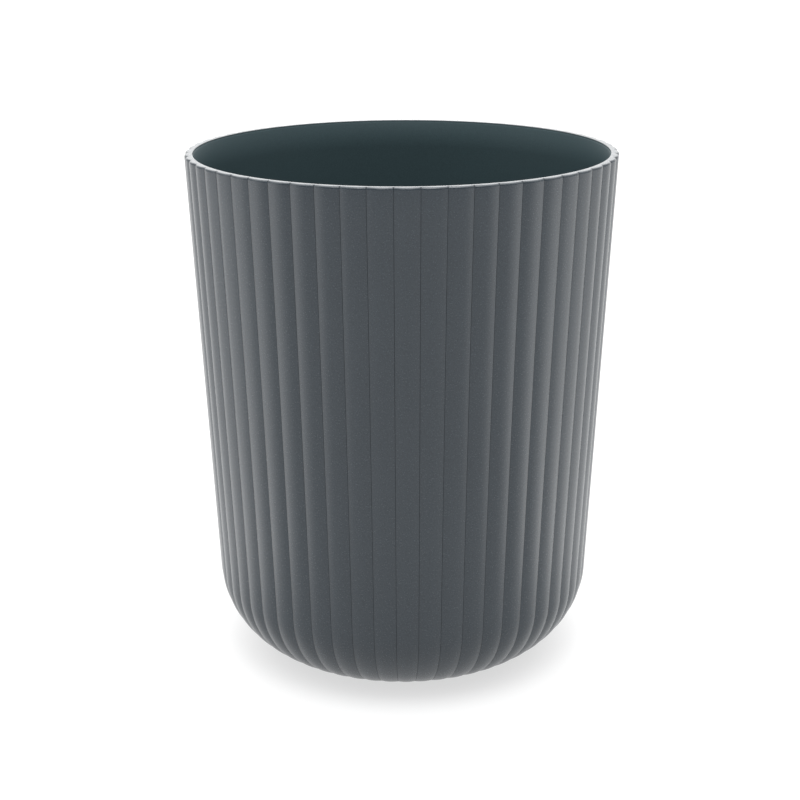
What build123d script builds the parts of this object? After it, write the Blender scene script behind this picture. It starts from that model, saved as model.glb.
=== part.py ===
from build123d import *
from math import atan2, cos, degrees, pi, radians, sin, sqrt, tan
import os

# A round plastic wastebasket. Its outside is a ring of upright convex flutes that meet in
# sharp grooves, its inside is smooth, and it stands on small grip pads under its floor.
# Millimetres, +Z up. The origin is on the ground, on the bin's own axis.

# Outside of the bin, measured to the crests of the flutes
rim_radius = 127.0
body_height = 309.9
wall_lean = 2.54
corner_radius = 53.0

# Flutes, as deep as this at the rim and shallower where the bin is narrower
flute_count = 56
flute_depth = 1.2

# Rim, with a low band inside it that ends on a narrow ledge
rim_width = 4.8
rim_outer_rounding = 1.2
rim_inner_rounding = 0.3
rim_band_height = 1.2
rim_ledge_width = 0.4

# Wall where it meets the bottom corner, and floor
low_wall_thickness = 3.6
floor_thickness = 4.0

# Flat ring that carries the pads, and the shallow hollow inside it
land_width = 16.0
hollow_depth = 1.4
hollow_rounding = 0.6

# Dish and stub that the moulding gate leaves in the middle of the underside
gate_dish_radius = 5.0
gate_stub_radius = 1.3
gate_dish_depth = 0.5

# Grip pads and their pockets
pad_count = 4
pad_diameter = 11.0
pad_stand_out = 0.8
pad_rounding = 0.4
pocket_depth = 1.2
pocket_side_clearance = 0.2

# How many sections the curved parts of the outside pass through
corner_sections = 9
rounding_sections = 5

# Heights above the ground
foot_height = pad_stand_out
rim_height = foot_height + body_height
floor_height = foot_height + floor_thickness
hollow_height = foot_height + hollow_depth

# One flute at the rim is an arc from groove to groove over its crest
flute_half_angle = pi / flute_count
rim_groove_radius = rim_radius - flute_depth
flute_half_chord = rim_groove_radius * sin(flute_half_angle)
flute_rise = rim_radius - rim_groove_radius * cos(flute_half_angle)
flute_arc_radius = (flute_half_chord**2 + flute_rise**2) / (2 * flute_rise)

# The outside's bottom corner turns from level at the foot to the lean of the wall
lean = radians(wall_lean)
corner_turn = pi / 2 - lean
corner_top = foot_height + corner_radius * (1 - cos(corner_turn))


def wall_radius(height):
    """Crest radius of the leaning wall at a height above the ground."""
    return rim_radius - (rim_height - height) * tan(lean)


foot_radius = wall_radius(corner_top) - corner_radius * sin(corner_turn)

# The rim's rounded outer edge starts on the leaning wall and ends level on the rim
rounding_height = rim_height - rim_outer_rounding
rounding_radius = wall_radius(rounding_height) - rim_outer_rounding / cos(lean)
rounding_start = rounding_height - rim_outer_rounding * sin(lean)

# The inside wall runs from the ledge under the rim down to its own bottom corner
mouth_radius = rim_radius - rim_width
ledge_radius = mouth_radius - rim_ledge_width
ledge_height = rim_height - rim_band_height
low_inner_radius = wall_radius(corner_top) - low_wall_thickness
inner_lean = atan2(ledge_radius - low_inner_radius, ledge_height - corner_top)
inner_corner_radius = corner_radius - floor_thickness
inner_corner_height = floor_height + inner_corner_radius
inner_corner_centre = (
    ledge_radius
    - (ledge_height - inner_corner_height) * tan(inner_lean)
    - inner_corner_radius / cos(inner_lean)
)

# Pads stand on a circle in the middle of the flat ring
hollow_radius = foot_radius - land_width
pad_circle_radius = foot_radius - land_width / 2
pad_thickness = pocket_depth + pad_stand_out


def ring_point(radius, angle):
    """Point of a section at a radius and an angle about the bin's axis."""
    return (radius * cos(angle), radius * sin(angle))


def flute_ring(crest_radius, inset=0.0):
    """Draw a closed ring of flute arcs, scaled to a crest radius and drawn in by an inset."""
    scaled_arc_radius = flute_arc_radius * crest_radius / rim_radius
    centre_radius = crest_radius - scaled_arc_radius
    arc_radius = scaled_arc_radius - inset
    half_gap = centre_radius * sin(flute_half_angle)
    groove_radius = centre_radius * cos(flute_half_angle) + sqrt(arc_radius**2 - half_gap**2)
    for number in range(flute_count):
        middle = 2 * flute_half_angle * number
        ThreePointArc(
            ring_point(groove_radius, middle - flute_half_angle),
            ring_point(centre_radius + arc_radius, middle),
            ring_point(groove_radius, middle + flute_half_angle),
        )


os.makedirs("parts", exist_ok=True)

with BuildPart() as bin_body:
    # Bottom corner, rounded from the foot up to the wall
    for step in range(corner_sections):
        turn = corner_turn * step / (corner_sections - 1)
        height = foot_height + corner_radius * (1 - cos(turn))
        with BuildSketch(Plane.XY.offset(height)):
            with BuildLine():
                flute_ring(foot_radius + corner_radius * sin(turn))
            make_face()
    loft()

    # Straight leaning wall
    for height in (corner_top, rounding_start):
        with BuildSketch(Plane.XY.offset(height)):
            with BuildLine():
                flute_ring(wall_radius(height))
            make_face()
    loft(ruled=True)

    # Rounded outer edge of the rim
    for step in range(rounding_sections):
        turn = (pi / 2 + lean) * step / (rounding_sections - 1) - lean
        height = rounding_height + rim_outer_rounding * sin(turn)
        edge_radius = rounding_radius + rim_outer_rounding * cos(turn)
        with BuildSketch(Plane.XY.offset(height)):
            with BuildLine():
                flute_ring(wall_radius(height), wall_radius(height) - edge_radius)
            make_face()
    loft()

    # Smooth inside, from the floor up through the corner, the wall, the ledge and the rim's band
    with BuildSketch(Plane.XZ):
        with BuildLine():
            inner_corner = CenterArc(
                (inner_corner_centre, inner_corner_height),
                inner_corner_radius,
                -90,
                90 - degrees(inner_lean),
            )
            Polyline(
                inner_corner @ 1,
                (ledge_radius, ledge_height),
                (mouth_radius, ledge_height),
                (mouth_radius, rim_height + rim_band_height),
                (0, rim_height + rim_band_height),
                (0, floor_height),
                inner_corner @ 0,
            )
        make_face()
    revolve(axis=Axis.Z, mode=Mode.SUBTRACT)
    mouth_edge = bin_body.faces().sort_by(Axis.Z)[-1].inner_wires()[0].edges()
    fillet(mouth_edge, rim_inner_rounding)

    # Shallow hollow in the underside, with both of its edges rounded
    with BuildSketch(Plane.XY.offset(foot_height)):
        Circle(hollow_radius)
    extrude(amount=hollow_depth, mode=Mode.SUBTRACT)
    hollow_wall = bin_body.faces().filter_by(GeomType.CYLINDER).sort_by(Axis.Z)[0]
    fillet(hollow_wall.edges().filter_by(GeomType.CIRCLE), min(hollow_rounding, 0.45 * hollow_depth))

    # Gate dish, with a stub left standing in its middle
    with BuildSketch(Plane.XY.offset(hollow_height)):
        Circle(gate_dish_radius)
        Circle(gate_stub_radius, mode=Mode.SUBTRACT)
    extrude(amount=gate_dish_depth, mode=Mode.SUBTRACT)

    # Pockets that hold the grip pads
    with BuildSketch(Plane.XY.offset(foot_height)):
        with PolarLocations(pad_circle_radius, pad_count):
            Circle(pad_diameter / 2 + pocket_side_clearance)
    extrude(amount=pocket_depth, mode=Mode.SUBTRACT)

bin_body.part.label = "bin_body"
export_step(bin_body.part, "parts/bin_body.step")

# Grip pads, each bedded against the top of its pocket and standing out below the floor
for number in range(pad_count):
    pad_centre = ring_point(pad_circle_radius, 2 * pi * number / pad_count)
    with BuildPart() as foot_pad:
        with BuildSketch(Plane.XY):
            with Locations(pad_centre):
                Circle(pad_diameter / 2)
        extrude(amount=pad_thickness)
        fillet(foot_pad.edges().sort_by(Axis.Z)[0], min(pad_rounding, 0.9 * pad_stand_out))
    foot_pad.part.label = f"foot_pad_{number + 1}"
    export_step(foot_pad.part, f"parts/foot_pad_{number + 1}.step")
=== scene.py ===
"""Looks of a fluted plastic wastebasket: its moulded body, its grip pads and a plain studio."""

import logging
import math
from dataclasses import dataclass, field
from enum import Enum

import bmesh
import bpy
from mathutils import Matrix, Vector


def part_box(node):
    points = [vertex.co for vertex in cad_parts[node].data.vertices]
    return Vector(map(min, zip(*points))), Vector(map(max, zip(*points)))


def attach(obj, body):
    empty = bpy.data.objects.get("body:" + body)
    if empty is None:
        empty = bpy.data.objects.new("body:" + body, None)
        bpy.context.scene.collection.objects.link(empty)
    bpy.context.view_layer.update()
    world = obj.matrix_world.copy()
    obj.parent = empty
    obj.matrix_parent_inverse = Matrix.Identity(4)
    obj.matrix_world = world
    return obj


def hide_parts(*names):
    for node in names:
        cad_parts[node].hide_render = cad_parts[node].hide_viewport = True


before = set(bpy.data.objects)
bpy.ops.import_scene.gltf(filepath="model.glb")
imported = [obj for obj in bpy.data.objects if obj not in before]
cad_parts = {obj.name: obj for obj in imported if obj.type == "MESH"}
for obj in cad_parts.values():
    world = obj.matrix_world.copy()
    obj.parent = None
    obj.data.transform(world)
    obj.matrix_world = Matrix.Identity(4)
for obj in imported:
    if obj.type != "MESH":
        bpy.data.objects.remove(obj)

# One millimetre in metres, and half a turn in degrees
MM = 0.001
HALF_TURN = 180.0

# Body that the bin is fixed to
BODY = "root"

# Grip pads under the floor
PAD_COUNT = 4

# An edge that turns by more than this stays sharp
SHARP_EDGE = math.radians(50)

# Stretch between 0 and 1 where most of a noise lies
NOISE_MIDDLE = (0.3, 0.7)

WHITE = (1.0, 1.0, 1.0, 1.0)

# Short names for types: Levels are pairs of a radius and a height, from one end to the other,
# and Stops are pairs of a place on a gradient and a brightness
Colour = tuple[float, float, float]
Levels = list[tuple[float, float]]
Ring = list[bmesh.types.BMVert]
Socket = bpy.types.NodeSocket
Stops = tuple[tuple[float, float], ...]

log = logging.getLogger("wastebasket")


class Slot(Enum):
    """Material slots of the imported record."""

    BIN_PLASTIC = "bin_plastic"
    PAD_RUBBER = "pad_rubber"


class Side(Enum):
    """Which of the moulding's finishes a face takes."""

    OUTSIDE = 0
    INSIDE = 1
    GROOVE = 2


class Curve(Enum):
    """How a value runs from one end to the other."""

    STRAIGHT = "LINEAR"
    EASED = "EASE"
    SMOOTH = "SMOOTHSTEP"


def quarter_turns(rows: int) -> list[float]:
    """Give the angles, in radians, that cut a quarter turn into even rows."""
    return [math.pi / 2 * row / rows for row in range(rows + 1)]


@dataclass(frozen=True)
class Station:
    """One level of the fluted outside.

    Args:
        radius: Crest radius, in metres.
        height: Height above the ground, in metres.
        inset: How far the outline is drawn in along its own normals, in metres.
    """

    radius: float
    height: float
    inset: float = 0.0


@dataclass(frozen=True)
class FluteRing:
    """Section of the fluted outside: convex arcs that meet in narrow, rounded grooves.

    Args:
        count: Flutes around the bin.
        rim_radius: Crest radius at the rim, in metres.
        depth: Depth of a groove below the crests at the rim, in metres.
        groove_rounding: Radius in the bottom of a groove, in metres.
        arc_steps: Spans across one flute.
        groove_steps: Spans across one groove.
    """

    count: int = 56
    rim_radius: float = 127.0 * MM
    depth: float = 1.2 * MM
    groove_rounding: float = 0.35 * MM
    arc_steps: int = 8
    groove_steps: int = 4

    @property
    def half_angle(self) -> float:
        """Half of the angle that one flute takes up."""
        return math.pi / self.count

    @property
    def arc_radius(self) -> float:
        """Radius of the arc over one flute."""
        groove = self.rim_radius - self.depth
        half_chord = groove * math.sin(self.half_angle)
        rise = self.rim_radius - groove * math.cos(self.half_angle)
        return (half_chord**2 + rise**2) / (2 * rise)

    def one_flute(self) -> list[tuple[Vector, Vector]]:
        """Trace one flute and the groove after it, about the +X axis.

        Returns:
            Pairs of a point and its outward normal, from groove to groove.
        """
        centre = self.rim_radius - self.arc_radius
        reach = self.arc_radius + self.groove_rounding
        half_gap = centre * math.sin(self.half_angle)
        middle = centre * math.cos(self.half_angle) + math.sqrt(reach**2 - half_gap**2)
        groove_centre = Vector((math.cos(self.half_angle), math.sin(self.half_angle))) * middle
        edge = math.atan2(groove_centre.y, groove_centre.x - centre)
        traced = []
        for step in range(self.arc_steps + 1):
            turn = edge * (2 * step / self.arc_steps - 1)
            normal = Vector((math.cos(turn), math.sin(turn)))
            traced.append((Vector((centre, 0)) + normal * self.arc_radius, normal))
        sweep = 2 * (edge - self.half_angle)
        for step in range(1, self.groove_steps):
            turn = edge - sweep * step / self.groove_steps
            normal = Vector((math.cos(turn), math.sin(turn)))
            traced.append((groove_centre - normal * self.groove_rounding, normal))
        return traced

    def sides(self) -> list[Side]:
        """Name the finish of every column of faces around the bin."""
        groove = [Side.GROOVE] * self.groove_steps
        return ([Side.OUTSIDE] * self.arc_steps + groove) * self.count

    def points(self, station: Station) -> list[Vector]:
        """Place the whole ring at one level.

        Args:
            station: Level of the outside.

        Returns:
            Points around the bin, in order.
        """
        share = station.radius / self.rim_radius
        flute = self.one_flute()
        placed = []
        for number in range(self.count):
            turned = Matrix.Rotation(2 * self.half_angle * number, 2)
            for point, normal in flute:
                flat = turned @ (point * share - normal * station.inset)
                placed.append(Vector((flat.x, flat.y, station.height)))
        return placed


class ShellBuilder:
    """Builds a closed mesh from rings of points."""

    def __init__(self) -> None:
        """Start with an empty mesh, on its outside."""
        self.bm = bmesh.new()
        self.side = Side.OUTSIDE

    def ring(self, points: list[Vector]) -> Ring:
        """Add one ring of vertices, without faces."""
        return [self.bm.verts.new(point) for point in points]

    def circle(
        self, radius: float, height: float, columns: int, centre: Vector | None = None
    ) -> Ring:
        """Add a level circle of vertices.

        Args:
            radius: Radius, in metres.
            height: Height above the ground, in metres.
            columns: Vertices around the circle.
            centre: Middle of the circle, if it isn't on the bin's axis.

        Returns:
            The vertices, in order.
        """
        middle = centre or Vector((0, 0, 0))
        points = []
        for column in range(columns):
            turn = 2 * math.pi * column / columns
            offset = Vector((radius * math.cos(turn), radius * math.sin(turn), height))
            points.append(middle + offset)
        return self.ring(points)

    def circles(self, levels: Levels, columns: int, centre: Vector | None = None) -> list[Ring]:
        """Add one circle for each pair of a radius and a height."""
        return [self.circle(radius, height, columns, centre) for radius, height in levels]

    def bridge(self, first: Ring, second: Ring, sides: list[Side]) -> None:
        """Join two rings of as many vertices with one band of faces.

        Args:
            first: One ring.
            second: The other ring.
            sides: Finish of each face.
        """
        for here, side in enumerate(sides):
            after = (here + 1) % len(first)
            face = self.bm.faces.new((first[here], first[after], second[after], second[here]))
            face.material_index = side.value

    def bridge_all(self, rings: list[Ring], sides: list[Side] | None = None) -> None:
        """Join each ring with the next one, all in one finish or each column in its own."""
        for first, second in zip(rings, rings[1:]):
            self.bridge(first, second, sides or [self.side] * len(first))

    def cap(self, ring: Ring) -> None:
        """Close a ring with a fan about its middle.

        Args:
            ring: The ring, in order.
        """
        middle = sum((vert.co for vert in ring), Vector()) / len(ring)
        hub = self.bm.verts.new(middle)
        for here in range(len(ring)):
            after = (here + 1) % len(ring)
            face = self.bm.faces.new((ring[here], ring[after], hub))
            face.material_index = self.side.value

    def fill_between(self, loops: list[Ring]) -> None:
        """Fill the flat area inside the first loop and outside the others.

        Args:
            loops: The loops, all in one plane.
        """
        edges = []
        for loop in loops:
            for here in range(len(loop)):
                pair = (loop[here], loop[(here + 1) % len(loop)])
                edges.append(self.bm.edges.get(pair) or self.bm.edges.new(pair))
        bmesh.ops.triangle_fill(self.bm, use_beauty=True, use_dissolve=False, edges=edges)

    def finish(self, name: str) -> bpy.types.Object:
        """Turn the rings into an object.

        Args:
            name: Name of the piece.

        Returns:
            The new object, in the scene.
        """
        bmesh.ops.recalc_face_normals(self.bm, faces=self.bm.faces)
        mesh = bpy.data.meshes.new(name)
        self.bm.to_mesh(mesh)
        self.bm.free()
        mesh.shade_smooth()
        mesh.set_sharp_from_angle(angle=SHARP_EDGE)
        piece = bpy.data.objects.new(name, mesh)
        bpy.context.scene.collection.objects.link(piece)
        return piece


class NodeBench:
    """Wires up the nodes of one material, or of the world."""

    def __init__(self, owner: bpy.types.Material | bpy.types.World) -> None:
        """Start with an empty node tree.

        Args:
            owner: What the nodes are for.
        """
        owner.use_nodes = True
        self.owner = owner
        self.tree = owner.node_tree
        self.tree.nodes.clear()

    def node(self, kind: str, **settings: object) -> bpy.types.Node:
        """Add a node.

        Args:
            kind: Blender's name for the kind of node.
            settings: Its own settings, by name.

        Returns:
            The new node.
        """
        made = self.tree.nodes.new(kind)
        for key, value in settings.items():
            setattr(made, key, value)
        return made

    def join(self, socket: Socket, value: object) -> None:
        """Link an input to an output, or set it to a plain value.

        Args:
            socket: The input.
            value: The output of another node, or the plain value.
        """
        if isinstance(value, Socket):
            self.tree.links.new(value, socket)
        else:
            socket.default_value = value

    def feed(self, node: bpy.types.Node, **values: object) -> bpy.types.Node:
        """Link or set the inputs of a node.

        Args:
            node: The node.
            values: What each input gets; an underscore in its name stands for a space.

        Returns:
            The same node.
        """
        for key, value in values.items():
            self.join(node.inputs[key.replace("_", " ")], value)
        return node

    def maths(self, operation: str, *values: Socket | float, clamp: bool = False) -> Socket:
        """Work out a sum, a product or the like.

        Args:
            operation: Blender's name for it.
            values: What goes into it, in order.
            clamp: Whether the result is kept between 0 and 1.

        Returns:
            The result.
        """
        made = self.node("ShaderNodeMath", operation=operation, use_clamp=clamp)
        for socket, value in zip(made.inputs, values):
            self.join(socket, value)
        return made.outputs["Value"]

    def remap(
        self,
        value: Socket,
        ends: tuple[float, float],
        results: tuple[float, float] = (0.0, 1.0),
        curve: Curve = Curve.STRAIGHT,
    ) -> Socket:
        """Carry a value from one range over to another.

        Args:
            value: The value.
            ends: Ends of its range.
            results: What the ends become.
            curve: How it runs between them.

        Returns:
            The value carried over.
        """
        made = self.node("ShaderNodeMapRange", interpolation_type=curve.value)
        self.feed(made, Value=value, From_Min=ends[0], From_Max=ends[1])
        self.feed(made, To_Min=results[0], To_Max=results[1])
        return made.outputs["Result"]

    def gradient(self, share: Socket, stops: Stops, curve: Curve = Curve.STRAIGHT) -> Socket:
        """Turn a share into a brightness.

        Args:
            share: The share, from 0 to 1.
            stops: Pairs of a share and its brightness.
            curve: How the brightness runs from stop to stop.

        Returns:
            The brightness, as a grey colour.
        """
        ramp = self.feed(self.node("ShaderNodeValToRGB"), Fac=share)
        ramp.color_ramp.interpolation = curve.value
        made = ramp.color_ramp.elements
        for number, (at, light) in enumerate(stops):
            stop = made[number] if number < len(made) else made.new(at)
            stop.position = at
            stop.color = (light, light, light, 1.0)
        return ramp.outputs["Color"]

    def azimuth(self, split: bpy.types.Node) -> Socket:
        """Give the angle about the bin's axis, in radians, with 0 in front, towards -Y."""
        front = self.maths("MULTIPLY", split.outputs["Y"], -1.0)
        return self.maths("ARCTAN2", split.outputs["X"], front)

    def place(self) -> Socket:
        """Give the point on the piece, in metres."""
        return self.node("ShaderNodeTexCoord").outputs["Object"]

    def noise(self, scale: float, detail: float) -> Socket:
        """Give a soft noise over the piece.

        Args:
            scale: Patches in one metre.
            detail: Finer layers in it.

        Returns:
            The noise, from 0 to 1.
        """
        made = self.node("ShaderNodeTexNoise")
        self.feed(made, Vector=self.place(), Scale=scale, Detail=detail)
        return made.outputs["Fac"]

    def spread(self, noise: Socket, low: float, high: float) -> Socket:
        """Stretch the middle of a noise from a low value to a high one."""
        return self.remap(noise, NOISE_MIDDLE, (low, high))

    def mix_colour(self, share: Socket, first: Colour, second: Colour) -> Socket:
        """Blend two colours.

        Args:
            share: Share of the second colour.
            first: Colour where the share is 0.
            second: Colour where it is 1.

        Returns:
            The blend.
        """
        made = self.node("ShaderNodeMix", data_type="RGBA")
        self.feed(made, Factor=share, A=(*first, 1.0), B=(*second, 1.0))
        return made.outputs["Result"]

    def bump(self, height: Socket, strength: float, distance: float) -> Socket:
        """Turn a height into bumps.

        Args:
            height: The height, from 0 to 1.
            strength: How strongly it shows.
            distance: How deep it is, in metres.

        Returns:
            The bumped normal.
        """
        made = self.node("ShaderNodeBump")
        self.feed(made, Height=height, Strength=strength, Distance=distance)
        return made.outputs["Normal"]

    def surface(self, **values: object) -> bpy.types.Material:
        """Close the material with one principled shader.

        Args:
            values: What each input of the shader gets.

        Returns:
            The material.
        """
        shader = self.feed(self.node("ShaderNodeBsdfPrincipled"), **values)
        self.feed(self.node("ShaderNodeOutputMaterial"), Surface=shader.outputs["BSDF"])
        return self.owner


@dataclass(frozen=True)
class MouldedPlastic:
    """Dark blue-grey polypropylene with the fine, even grain of a sparked mould.

    Args:
        name: Name of the material.
        light_colour: Colour of its lighter specks.
        dark_colour: Colour of its darker specks.
        smooth_roughness: Roughness of its smoother specks.
        rough_roughness: Roughness of its rougher specks.
        gloss: How strongly it mirrors.
        grain_per_metre: Specks in one metre.
        grain_detail: Finer layers in the grain.
        grain_shares: Share of the light colour in the darker and in the lighter specks.
        grain_depth: Depth of the grain, in metres.
        grain_strength: How strongly its depth shows.
        cloud_per_metre: Faint clouds in one metre.
        cloud_detail: Finer layers in the clouds.
        cloud_share: How far a cloud moves the share of the light colour, up or down.
    """

    name: str = "grained_outside"
    light_colour: Colour = (0.0275, 0.0385, 0.0480)
    dark_colour: Colour = (0.0120, 0.0190, 0.0260)
    smooth_roughness: float = 0.21
    rough_roughness: float = 0.28
    gloss: float = 0.5
    grain_per_metre: float = 1500.0
    grain_detail: float = 2.0
    grain_shares: tuple[float, float] = (0.1, 0.9)
    grain_depth: float = 0.09 * MM
    grain_strength: float = 0.5
    cloud_per_metre: float = 14.0
    cloud_detail: float = 3.0
    cloud_share: float = 0.08

    def material(self) -> bpy.types.Material:
        """Make the material.

        Returns:
            The material.
        """
        bench = NodeBench(bpy.data.materials.new(self.name))
        cloud = bench.noise(self.cloud_per_metre, self.cloud_detail)
        shift = bench.spread(cloud, -self.cloud_share, self.cloud_share)
        grain = bench.noise(self.grain_per_metre, self.grain_detail)
        share = bench.maths("ADD", bench.spread(grain, *self.grain_shares), shift, clamp=True)
        return bench.surface(
            Base_Color=bench.mix_colour(share, self.dark_colour, self.light_colour),
            Roughness=bench.spread(grain, self.smooth_roughness, self.rough_roughness),
            Specular_IOR_Level=self.gloss,
            Normal=bench.bump(grain, self.grain_strength, self.grain_depth),
        )


# Copy of the plastic for the inside: rougher and less glossy, and painted lighter than the outside
# as painted light where the inside is lit
INSIDE_PAINTED_LIGHT = MouldedPlastic(
    name="inside_painted_light",
    light_colour=(0.038, 0.063, 0.070),
    dark_colour=(0.029, 0.048, 0.054),
    smooth_roughness=0.50,
    rough_roughness=0.60,
    gloss=0.15,
)

# Copy of the plastic for the bottom of the grooves: rougher and less glossy, and painted darker as
# painted shade where little light gets in
GROOVE_PAINTED_SHADE = MouldedPlastic(
    name="groove_painted_shade",
    light_colour=(0.012, 0.016, 0.020),
    dark_colour=(0.006, 0.009, 0.012),
    smooth_roughness=0.60,
    rough_roughness=0.75,
    gloss=0.15,
)


@dataclass(frozen=True)
class PadRubber:
    """Black soft rubber with a dusty, slightly uneven face.

    Args:
        colour: Colour of the clean rubber.
        dust_colour: Colour of the dust.
        clean_roughness: Roughness where it is clean.
        dusty_roughness: Roughness where it is dusty.
        dust_per_metre: Patches of dust in one metre.
        dust_detail: Finer layers in the dust.
        grain_per_metre: Grains in one metre.
        grain_detail: Finer layers in the grain.
        grain_depth: Depth of the grain, in metres.
        grain_strength: How strongly its depth shows.
    """

    colour: Colour = (0.018, 0.018, 0.019)
    dust_colour: Colour = (0.035, 0.034, 0.033)
    clean_roughness: float = 0.72
    dusty_roughness: float = 0.9
    dust_per_metre: float = 900.0
    dust_detail: float = 4.0
    grain_per_metre: float = 4000.0
    grain_detail: float = 2.0
    grain_depth: float = 0.03 * MM
    grain_strength: float = 0.4

    def material(self) -> bpy.types.Material:
        """Make the material.

        Returns:
            The material.
        """
        bench = NodeBench(bpy.data.materials.new("pad_rubber"))
        dust = bench.noise(self.dust_per_metre, self.dust_detail)
        grain = bench.noise(self.grain_per_metre, self.grain_detail)
        return bench.surface(
            Base_Color=bench.mix_colour(dust, self.colour, self.dust_colour),
            Roughness=bench.spread(dust, self.clean_roughness, self.dusty_roughness),
            Normal=bench.bump(grain, self.grain_strength, self.grain_depth),
        )


@dataclass(frozen=True)
class StudioPaper:
    """Pale seamless paper on a light table that is brightest at both sides of the object.

    Args:
        colour: Colour of the paper.
        roughness: Roughness of the paper.
        glow: Light from below, in front of the object.
        more_glow: Stops of an angle away from the front in degrees, and the light added there.
        near: Distance from the bin's axis where the added light starts, in metres.
        far: Distance where it is full, in metres.
    """

    colour: Colour = (0.28, 0.28, 0.28)
    roughness: float = 0.9
    glow: float = 0.64
    more_glow: Stops = (
        (0.0, 0.0),
        (44.0, 0.06),
        (58.0, 0.42),
        (80.0, 1.0),
        (94.0, 0.8),
        (112.0, 0.25),
        (135.0, 0.0),
        (180.0, 0.0),
    )
    near: float = 130.0 * MM
    far: float = 300.0 * MM

    def strength(self, bench: NodeBench) -> Socket:
        """Give the light from below at every place on the paper.

        Args:
            bench: The material under way.

        Returns:
            The strength of the light.
        """
        place = bench.place()
        split = bench.feed(bench.node("ShaderNodeSeparateXYZ"), Vector=place)
        away = bench.maths("ABSOLUTE", bench.azimuth(split))
        share = bench.maths("DIVIDE", away, math.pi)
        stops = tuple((angle / HALF_TURN, light) for angle, light in self.more_glow)
        added = bench.gradient(share, stops)
        length = bench.feed(bench.node("ShaderNodeVectorMath", operation="LENGTH"), Vector=place)
        reach = bench.remap(length.outputs["Value"], (self.near, self.far), curve=Curve.SMOOTH)
        return bench.maths("MULTIPLY_ADD", added, reach, self.glow)

    def material(self) -> bpy.types.Material:
        """Make the material.

        Returns:
            The material.
        """
        bench = NodeBench(bpy.data.materials.new("studio_paper"))
        return bench.surface(
            Base_Color=(*self.colour, 1.0),
            Roughness=self.roughness,
            Emission_Color=WHITE,
            Emission_Strength=self.strength(bench),
        )


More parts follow.
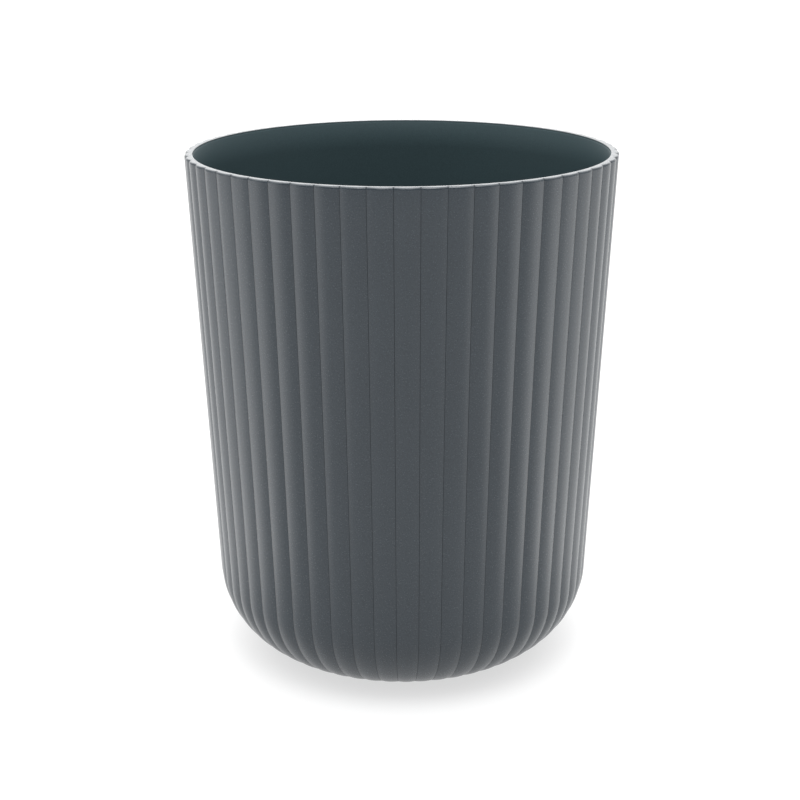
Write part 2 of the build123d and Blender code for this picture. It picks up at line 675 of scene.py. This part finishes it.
@dataclass
class BinBody:
    """The one moulding: fluted wall, rim, rounded bottom corner, floor and underside.

    Lengths are in metres. The outside is drawn in by a hair, so that no rounding of it stands
    out of the solid's box.

    Args:
        flutes: Section of the outside.
        finish: Finish of the outside and the rim.
        inside_painted_light_finish: Finish of the inside, painted lighter than the outside as
            painted light.
        groove_painted_shade_finish: Finish in the bottom of the grooves, painted darker as painted
            shade.
        wall_lean: How far the wall leans out, in radians.
        corner_radius: Radius of the bottom corner.
        rim_width: Width of the rim's top.
        rim_outer_rounding: Radius on the rim's outer edge.
        hair: How far the outside is drawn in.
        rim_inner_rounding: Radius on the rim's inner edge.
        rim_band_height: Height of the low band inside the rim.
        rim_ledge_width: Width of the ledge under the band.
        ledge_softening: How far the ledge's two edges are cut off.
        low_wall_thickness: Thickness of the wall where it meets the bottom corner.
        floor_thickness: Thickness of the floor.
        floor_shares: Rings across the floor, as shares of its radius.
        land_width: Width of the flat ring that the bin stands on.
        hollow_depth: Depth of the hollow inside that ring.
        hollow_rounding: Radius on both of the hollow's edges.
        gate_dish_radius: Radius of the dish around the gate's stub.
        gate_stub_radius: Radius of the stub.
        gate_dish_depth: Depth of the dish.
        gate_softening: How far the edges of the dish and the stub are cut off.
        pocket_radius: Radius of a pad's pocket.
        pocket_depth: Depth of a pocket.
        pocket_rounding: How far a pocket's edge is cut off.
        pad_count: Pads, and pockets for them.
        wall_rows: Rows of faces up the wall.
        corner_rows: Rows of faces around a bottom corner.
        rounding_rows: Rows of faces around the rim's outer edge.
        edge_rows: Rows of faces around a small rounded edge.
        small_columns: Vertices around the hollow.
        pocket_columns: Vertices around a pocket.
        foot_height: Height of the foot above the ground, from the frame.
        rim_height: Height of the rim above the ground, from the frame.
    """

    flutes: FluteRing = field(default_factory=FluteRing)
    finish: MouldedPlastic = field(default_factory=MouldedPlastic)
    inside_painted_light_finish: MouldedPlastic = INSIDE_PAINTED_LIGHT
    groove_painted_shade_finish: MouldedPlastic = GROOVE_PAINTED_SHADE
    wall_lean: float = math.radians(2.54)
    corner_radius: float = 53.0 * MM
    rim_width: float = 4.8 * MM
    rim_outer_rounding: float = 1.2 * MM
    hair: float = 0.02 * MM
    rim_inner_rounding: float = 0.3 * MM
    rim_band_height: float = 1.2 * MM
    rim_ledge_width: float = 0.4 * MM
    ledge_softening: float = 0.12 * MM
    low_wall_thickness: float = 3.6 * MM
    floor_thickness: float = 4.0 * MM
    floor_shares: tuple[float, ...] = (0.66, 0.33, 0.1)
    land_width: float = 16.0 * MM
    hollow_depth: float = 1.4 * MM
    hollow_rounding: float = 0.6 * MM
    gate_dish_radius: float = 5.0 * MM
    gate_stub_radius: float = 1.3 * MM
    gate_dish_depth: float = 0.5 * MM
    gate_softening: float = 0.15 * MM
    pocket_radius: float = 5.7 * MM
    pocket_depth: float = 1.2 * MM
    pocket_rounding: float = 0.15 * MM
    pad_count: int = PAD_COUNT
    wall_rows: int = 16
    corner_rows: int = 26
    rounding_rows: int = 6
    edge_rows: int = 4
    small_columns: int = 160
    pocket_columns: int = 40
    foot_height: float = field(init=False)
    rim_height: float = field(init=False)

    def __post_init__(self) -> None:
        """Read the foot's and the rim's heights from the frame."""
        low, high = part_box("bin_body")
        self.foot_height = low.z
        self.rim_height = high.z

    def wall_radius(self, height: float) -> float:
        """Crest radius of the leaning wall at a height."""
        return self.flutes.rim_radius - (self.rim_height - height) * math.tan(self.wall_lean)

    @property
    def floor_height(self) -> float:
        """Height of the inside floor."""
        return self.foot_height + self.floor_thickness

    @property
    def mouth_radius(self) -> float:
        """Radius inside the rim."""
        return self.flutes.rim_radius - self.rim_width

    @property
    def ledge_radius(self) -> float:
        """Radius inside the ledge under the rim's band."""
        return self.mouth_radius - self.rim_ledge_width

    @property
    def ledge_height(self) -> float:
        """Height of the ledge under the rim's band."""
        return self.rim_height - self.rim_band_height

    @property
    def corner_turn(self) -> float:
        """Angle that the bottom corner turns through."""
        return math.pi / 2 - self.wall_lean

    @property
    def corner_top(self) -> float:
        """Height where the bottom corner meets the wall."""
        return self.foot_height + self.corner_radius * (1 - math.cos(self.corner_turn))

    @property
    def foot_radius(self) -> float:
        """Crest radius where the bottom corner reaches the foot."""
        return self.wall_radius(self.corner_top) - self.corner_radius * math.sin(self.corner_turn)

    def corner_stations(self) -> list[Station]:
        """Place the levels of the bottom corner.

        Returns:
            The levels, from the foot up to the wall.
        """
        stations = []
        for row in range(self.corner_rows + 1):
            turn = self.corner_turn * row / self.corner_rows
            stations.append(
                Station(
                    self.foot_radius + self.corner_radius * math.sin(turn),
                    self.foot_height + self.corner_radius * (1 - math.cos(turn)),
                )
            )
        return stations

    def wall_stations(self) -> list[Station]:
        """Place the levels of the wall between the bottom corner and the rim's rounded edge.

        Returns:
            The levels, from the lowest up.
        """
        start, end = self.corner_top, self.rim_height - self.rim_outer_rounding
        stations = []
        for row in range(1, self.wall_rows):
            height = start + (end - start) * row / self.wall_rows
            stations.append(Station(self.wall_radius(height), height))
        return stations

    def rim_stations(self) -> list[Station]:
        """Place the levels of the rim's rounded outer edge.

        Returns:
            The levels, from the wall up to the rim's flat top.
        """
        rounding = self.rim_outer_rounding
        middle_height = self.rim_height - rounding
        middle_radius = self.wall_radius(middle_height) - rounding / math.cos(self.wall_lean)
        stations = []
        for row in range(self.rounding_rows + 1):
            turn = (math.pi / 2 + self.wall_lean) * row / self.rounding_rows - self.wall_lean
            height = middle_height + rounding * math.sin(turn)
            leaning = self.wall_radius(height)
            inset = leaning - middle_radius - rounding * math.cos(turn)
            stations.append(Station(leaning, height, inset))
        return stations

    def mouth_levels(self) -> Levels:
        """Trace the rim's inner edge, the band under it and the ledge.

        Returns:
            Pairs of a radius and a height, from the rim's flat top down to the ledge's inner edge.
        """
        rounding = self.rim_inner_rounding
        levels = []
        for turn in reversed(quarter_turns(self.edge_rows)):
            radius = self.mouth_radius + rounding - rounding * math.cos(turn)
            levels.append((radius, self.rim_height - rounding + rounding * math.sin(turn)))
        levels.append((self.mouth_radius, self.ledge_height + self.ledge_softening))
        levels.append((self.mouth_radius - self.ledge_softening, self.ledge_height))
        levels.append((self.ledge_radius + self.ledge_softening, self.ledge_height))
        levels.append((self.ledge_radius, self.ledge_height - self.ledge_softening))
        return levels

    def lining_levels(self) -> Levels:
        """Trace the leaning inside wall, its bottom corner and the floor.

        Returns:
            Pairs of a radius and a height, from below the ledge to near the middle of the floor.
        """
        low_radius = self.wall_radius(self.corner_top) - self.low_wall_thickness
        slope = (self.ledge_radius - low_radius) / (self.ledge_height - self.corner_top)
        lean = math.atan(slope)
        radius = self.corner_radius - self.floor_thickness
        middle_height = self.floor_height + radius
        reach = (self.ledge_height - middle_height) * slope
        middle = self.ledge_radius - reach - radius / math.cos(lean)
        end = middle_height - radius * math.sin(lean)
        levels = []
        for row in range(1, self.wall_rows):
            height = self.ledge_height + (end - self.ledge_height) * row / self.wall_rows
            levels.append((self.ledge_radius - (self.ledge_height - height) * slope, height))
        for row in range(self.corner_rows + 1):
            turn = lean + (math.pi / 2 - lean) * row / self.corner_rows
            height = middle_height - radius * math.sin(turn)
            levels.append((middle + radius * math.cos(turn), height))
        floor_radius = levels[-1][0]
        for share in self.floor_shares:
            levels.append((floor_radius * share, self.floor_height))
        return levels

    def build_inside(self, shell: ShellBuilder, rim: Ring) -> None:
        """Line the bin from the outer edge of the rim's flat top to the middle of the floor.

        The rim's top and its rounded inner edge take the finish of the outside.

        Args:
            shell: The mesh under way.
            rim: Outer edge of the rim's flat top.
        """
        levels = self.mouth_levels() + self.lining_levels()
        rings = [rim, *shell.circles(levels, len(rim))]
        edge_end = self.edge_rows + 1
        shell.bridge_all(rings[: edge_end + 1])
        shell.side = Side.INSIDE
        shell.bridge_all(rings[edge_end:])
        shell.cap(rings[-1])
        shell.side = Side.OUTSIDE

    def build_pocket(self, shell: ShellBuilder, number: int) -> Ring:
        """Sink one pad's pocket into the foot.

        Args:
            shell: The mesh under way.
            number: Which pad, from 0.

        Returns:
            The pocket's mouth.
        """
        around = 2 * math.pi * number / self.pad_count
        reach = self.foot_radius - self.land_width / 2
        centre = Vector((reach * math.cos(around), reach * math.sin(around), 0))
        levels = [
            (self.pocket_radius + self.pocket_rounding, self.foot_height),
            (self.pocket_radius, self.foot_height + self.pocket_rounding),
            (self.pocket_radius, self.foot_height + self.pocket_depth),
        ]
        rings = shell.circles(levels, self.pocket_columns, centre)
        shell.bridge_all(rings)
        shell.cap(rings[-1])
        return rings[0]

    def gate_levels(self, ceiling: float) -> Levels:
        """Trace the dish that the moulding gate leaves, and the stub in its middle.

        Args:
            ceiling: Height of the hollow's ceiling.

        Returns:
            Pairs of a radius and a height, from the dish's edge to the stub's face.
        """
        dish = self.gate_dish_radius
        stub = self.gate_stub_radius
        softened = ceiling + self.gate_softening
        top = ceiling + self.gate_dish_depth
        return [
            (dish + self.gate_softening, ceiling),
            (dish, softened),
            (dish, top),
            (stub, top),
            (stub, softened),
            (stub - self.gate_softening, ceiling),
        ]

    def build_hollow(self, shell: ShellBuilder) -> Ring:
        """Sink the hollow and the gate's dish into the middle of the underside.

        Args:
            shell: The mesh under way.

        Returns:
            The hollow's mouth.
        """
        wall = self.foot_radius - self.land_width
        rounding = self.hollow_rounding
        ceiling = self.foot_height + self.hollow_depth
        levels = []
        for turn in quarter_turns(self.edge_rows):
            height = self.foot_height + rounding - rounding * math.cos(turn)
            levels.append((wall + rounding - rounding * math.sin(turn), height))
        for turn in quarter_turns(self.edge_rows):
            height = ceiling - rounding + rounding * math.sin(turn)
            levels.append((wall - rounding + rounding * math.cos(turn), height))
        levels.append(((wall + self.gate_dish_radius) / 2, ceiling))
        rings = shell.circles(levels + self.gate_levels(ceiling), self.small_columns)
        shell.bridge_all(rings)
        shell.cap(rings[-1])
        return rings[0]

    def build(self) -> bpy.types.Object:
        """Build the whole moulding as one closed mesh.

        Returns:
            The piece, not yet dressed.
        """
        shell = ShellBuilder()
        rings = []
        for station in self.corner_stations() + self.wall_stations() + self.rim_stations():
            drawn_in = Station(station.radius, station.height, station.inset + self.hair)
            rings.append(shell.ring(self.flutes.points(drawn_in)))
        shell.bridge_all(rings, self.flutes.sides())
        self.build_inside(shell, rings[-1])
        openings = [self.build_hollow(shell)]
        for number in range(self.pad_count):
            openings.append(self.build_pocket(shell, number))
        shell.fill_between([rings[0], *openings])
        return shell.finish("fluted_bin")

    def dress(self, piece: bpy.types.Object) -> None:
        """Give the moulding its finishes, in the order of its sides, and its place.

        Args:
            piece: The moulding.
        """
        for finish in (self.finish, self.inside_painted_light_finish, self.groove_painted_shade_finish):
            piece.data.materials.append(finish.material())
        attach(piece, BODY)
        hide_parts("bin_body")

    def add(self) -> list[str]:
        """Build and dress the moulding.

        Returns:
            Name of the piece made.
        """
        piece = self.build()
        self.dress(piece)
        return [piece.name]


@dataclass
class GripPads:
    """The pads under the floor, which keep the shapes of their solids.

    Args:
        count: How many there are.
        finish: Their finish.
    """

    count: int = PAD_COUNT
    finish: PadRubber = field(default_factory=PadRubber)

    def add(self) -> list[str]:
        """Dress each pad's own solid in rubber.

        Returns:
            Names of the pieces dressed.
        """
        material = self.finish.material()
        names = []
        for number in range(1, self.count + 1):
            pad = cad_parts[f"foot_pad_{number}"]
            pad.data.materials.clear()
            pad.data.materials.append(material)
            names.append(pad.name)
        return names


@dataclass(frozen=True)
class Softbox:
    """A broad, square lamp.

    Args:
        name: Name of the lamp.
        azimuth: Where it stands about the bin, in degrees; 0 is in front.
        height: Height above the ground, in metres.
        distance: Distance from the bin's axis, in metres.
        size: Side of the lamp, in metres.
        power: Power, in watts.
    """

    name: str
    azimuth: float
    height: float
    distance: float
    size: float
    power: float

    def add(self, target: Vector) -> None:
        """Hang the lamp and point it at a target.

        Args:
            target: The point, in metres.
        """
        data = bpy.data.lights.new(self.name, "AREA")
        data.shape = "SQUARE"
        data.size = self.size
        data.energy = self.power
        lamp = bpy.data.objects.new(self.name, data)
        around = math.radians(self.azimuth)
        lamp.location = Vector(
            (self.distance * math.sin(around), -self.distance * math.cos(around), self.height)
        )
        lamp.rotation_mode = "QUATERNION"
        lamp.rotation_quaternion = (target - lamp.location).to_track_quat("-Z", "Y")
        bpy.context.scene.collection.objects.link(lamp)


@dataclass(frozen=True)
class ViewPoint:
    """The camera that took the photograph, as fitted to the outline, the rim and the grooves.

    Args:
        focal_pixels: Focal length in pixels of the photograph.
        picture_pixels: Side of the photograph, in pixels.
        axis_pixels: How far right of the middle the bin's axis stands, in pixels.
        distance: Level distance from the bin's axis, in metres.
        height: Height above the ground, in metres.
        azimuth: Where it stands about the bin, in radians; 0 is in front.
        down: How far it looks down, in radians.
        roll: How far it is turned about its line of sight, in radians.
        sensor: Side of its sensor, in millimetres.
        nearest: Distance where it starts to see, in metres.
    """

    focal_pixels: float = 1528.5
    picture_pixels: float = 800.0
    axis_pixels: float = 2.6
    distance: float = 900.4 * MM
    height: float = 451.7 * MM
    azimuth: float = -0.0222
    down: float = 0.3181
    roll: float = -0.0036
    sensor: float = 36.0
    nearest: float = 10.0 * MM

    def add(self) -> None:
        """Set the camera up and make it the scene's own."""
        data = bpy.data.cameras.new("photo_camera")
        data.sensor_width = self.sensor
        data.lens = self.sensor * self.focal_pixels / self.picture_pixels
        data.clip_start = self.nearest
        camera = bpy.data.objects.new("photo_camera", data)
        side = math.atan(self.axis_pixels / self.focal_pixels)
        place = Matrix.Translation(
            (
                self.distance * math.sin(self.azimuth),
                -self.distance * math.cos(self.azimuth),
                self.height,
            )
        )
        aim = (
            Matrix.Rotation(self.azimuth + side, 4, "Z")
            @ Matrix.Rotation(math.pi / 2 - self.down, 4, "X")
            @ Matrix.Rotation(self.roll, 4, "Z")
        )
        camera.matrix_world = place @ aim
        bpy.context.scene.collection.objects.link(camera)
        bpy.context.scene.camera = camera


@dataclass(frozen=True)
class Surround:
    """Big white walls and a ceiling around the bin, as a gradient with no picture.

    Args:
        walls: Stops of an azimuth about the bin in degrees, with 0 in front, and a brightness.
        front_ceiling: Brightness of the half of the ceiling in front of the bin.
        back_ceiling: Brightness of the other half.
        ceiling_start: How far up the ceiling starts, as the sine of the angle.
        ceiling_full: How far up it is full, as a sine too.
        seam: Half of the width of the blend between the halves, as a sine too.
    """

    walls: Stops = (
        (-180.0, 2.20),
        (-130.0, 0.70),
        (-105.0, 0.80),
        (-88.0, 1.80),
        (-74.0, 1.40),
        (-62.0, 0.70),
        (-50.0, 0.20),
        (-38.0, 0.02),
        (38.0, 0.02),
        (50.0, 0.15),
        (62.0, 0.50),
        (74.0, 0.90),
        (88.0, 1.20),
        (105.0, 0.60),
        (130.0, 0.80),
        (180.0, 2.20),
    )
    front_ceiling: float = 2.7
    back_ceiling: float = 3.5
    ceiling_start: float = 0.35
    ceiling_full: float = 1.0
    seam: float = 0.35

    def wall_colour(self, bench: NodeBench, split: bpy.types.Node) -> Socket:
        """Shade the walls by their azimuth about the bin.

        Args:
            bench: The world's nodes.
            split: Node that gives the parts of the direction.

        Returns:
            The colour of the walls.
        """
        share = bench.remap(bench.azimuth(split), (-math.pi, math.pi))
        stops = tuple(((angle + HALF_TURN) / (2 * HALF_TURN), light) for angle, light in self.walls)
        return bench.gradient(share, stops, Curve.EASED)

    def add(self) -> None:
        """Light the world with the gradient."""
        world = bpy.data.worlds.new("studio_surround")
        bench = NodeBench(world)
        direction = bench.node("ShaderNodeTexCoord").outputs["Generated"]
        split = bench.feed(bench.node("ShaderNodeSeparateXYZ"), Vector=direction)
        halves = (self.front_ceiling, self.back_ceiling)
        seam = (-self.seam, self.seam)
        rise = (self.ceiling_start, self.ceiling_full)
        ceiling = bench.remap(split.outputs["Y"], seam, halves, Curve.SMOOTH)
        up = bench.remap(split.outputs["Z"], rise, curve=Curve.SMOOTH)
        blend = bench.node("ShaderNodeMix", data_type="RGBA")
        bench.feed(blend, Factor=up, A=self.wall_colour(bench, split), B=ceiling)
        shade = bench.feed(bench.node("ShaderNodeBackground"), Color=blend.outputs["Result"])
        bench.feed(bench.node("ShaderNodeOutputWorld"), Surface=shade.outputs["Background"])
        bpy.context.scene.world = world


@dataclass
class Studio:
    """Pale floor on a light table, bright surround, one soft lamp in front, and the camera.

    Args:
        paper: Finish of the floor.
        surround: Walls and ceiling.
        floor_side: Side of the floor, in metres.
        target: Point that the lamps are turned to, in metres.
        camera: The camera.
        lamps: The lamps.
    """

    paper: StudioPaper = field(default_factory=StudioPaper)
    surround: Surround = field(default_factory=Surround)
    floor_side: float = 40.0
    target: Vector = field(default_factory=lambda: Vector((0, 0, 0.16)))
    camera: ViewPoint = field(default_factory=ViewPoint)
    lamps: tuple[Softbox, ...] = (
        Softbox("front_softbox", azimuth=0.0, height=1.5, distance=0.6, size=0.7, power=8.0),
    )

    def lay_floor(self) -> None:
        """Lay the paper under the bin, far enough to fill every view."""
        bm = bmesh.new()
        half = self.floor_side / 2
        outline = ((-half, -half, 0), (half, -half, 0), (half, half, 0), (-half, half, 0))
        bm.faces.new([bm.verts.new(point) for point in outline])
        mesh = bpy.data.meshes.new("studio_floor")
        bm.to_mesh(mesh)
        bm.free()
        mesh.materials.append(self.paper.material())
        floor = bpy.data.objects.new("studio_floor", mesh)
        bpy.context.scene.collection.objects.link(floor)

    def add(self) -> list[str]:
        """Set the studio up.

        Returns:
            Names of its lamps.
        """
        self.lay_floor()
        self.surround.add()
        for lamp in self.lamps:
            lamp.add(self.target)
        self.camera.add()
        bpy.context.scene.view_settings.view_transform = "Standard"
        return [lamp.name for lamp in self.lamps]


def main() -> None:
    """Build the bin, its pads and the studio."""
    logging.basicConfig(level=logging.INFO, format="%(message)s")
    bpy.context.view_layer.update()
    for builder in (BinBody(), GripPads(), Studio()):
        for name in builder.add():
            log.info("%s: %s", type(builder).__name__, name)


if __name__ == "__main__":
    main()
